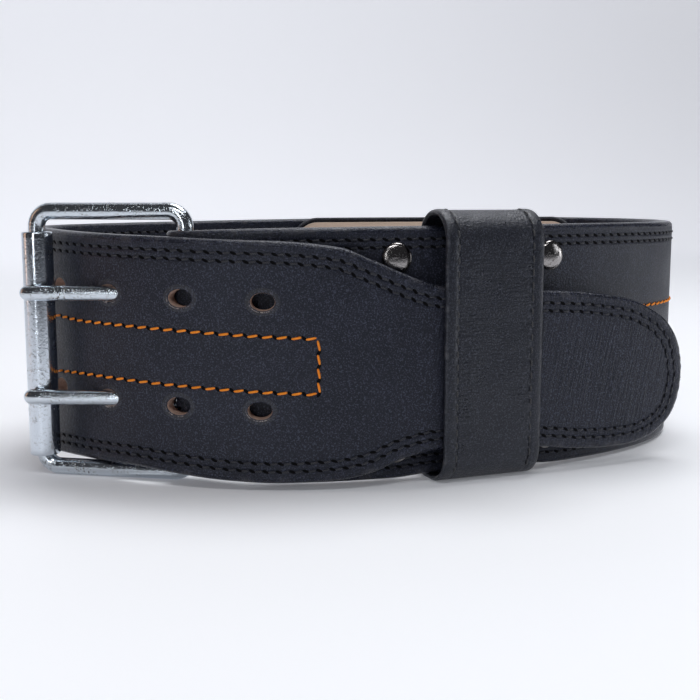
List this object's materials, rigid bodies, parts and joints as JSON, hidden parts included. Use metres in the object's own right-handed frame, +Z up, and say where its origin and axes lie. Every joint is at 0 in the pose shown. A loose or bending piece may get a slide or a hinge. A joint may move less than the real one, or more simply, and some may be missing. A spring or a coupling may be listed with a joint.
{
  "type": "weightlifting belt",
  "caption": "Padded leather weightlifting belt, fastened in a loop by a roller buckle with round prongs and a leather keeper, standing on its edge.",
  "frame": {"origin": "on the surface the belt stands on, below the middle of the whole belt", "axes": "+Z up along the belt's width, +X along the front wall from the buckle to the tail's tip, +Y from the front wall to the far wall"},
  "size_m": [0.3064, 0.1874, 0.109],
  "materials": {
    "strap_leather": "satin black, fine grain",
    "keeper_leather": "glossier black with fine wrinkles",
    "plated_steel": "zinc plated, bright with dull patches",
    "rivet_steel": "polished dark domes",
    "pad_suede": "soft tan suede",
    "piping_cord": "black covered cord"
  },
  "bodies": {
    "root": {"belt_strap": "strap_leather", "buckle_frame": "plated_steel", "roller": "plated_steel", "prong_lower": "plated_steel", "prong_upper": "plated_steel", "keeper_loop": "keeper_leather", "rivet_1": "rivet_steel", "rivet_2": "rivet_steel", "rivet_3": "rivet_steel", "rivet_4": "rivet_steel", "rivet_5": "rivet_steel", "rivet_6": "rivet_steel", "back_pad": "pad_suede", "pad_piping": "piping_cord"}
  },
  "joints": []
}
